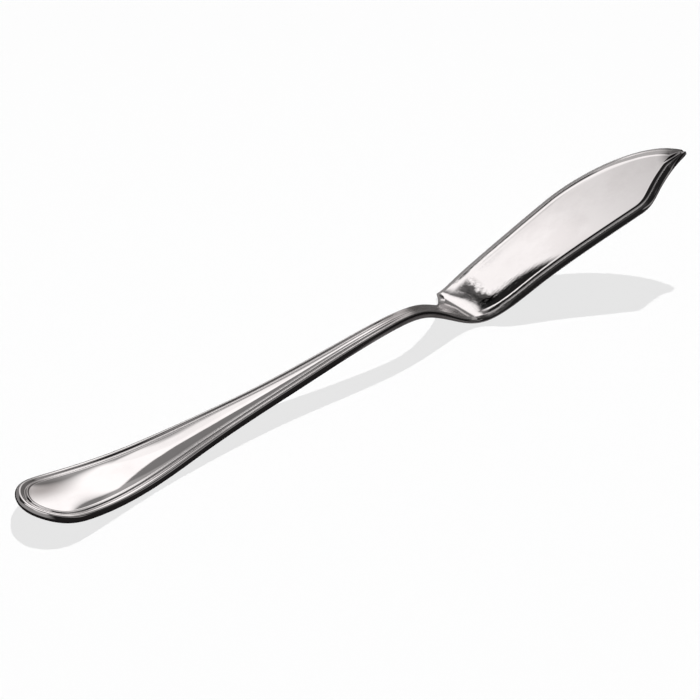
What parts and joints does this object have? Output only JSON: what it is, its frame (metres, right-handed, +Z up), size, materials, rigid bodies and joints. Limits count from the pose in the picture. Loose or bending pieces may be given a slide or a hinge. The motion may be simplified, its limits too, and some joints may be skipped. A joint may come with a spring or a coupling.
{
  "type": "fish server",
  "caption": "Serving knife for fish with a notched, bordered blade, a cranked neck and a pear-shaped handle with rails.",
  "frame": {"origin": "on the table, under the middle of the piece's box", "axes": "+X from the end of the handle to the tip of the blade, +Y to the convex edge's side, +Z up"},
  "size_m": [0.2702, 0.032, 0.0304],
  "materials": {
    "polished_steel": "mirror polished stainless steel"
  },
  "bodies": {
    "root": {"fish_server": "polished_steel"}
  },
  "joints": []
}
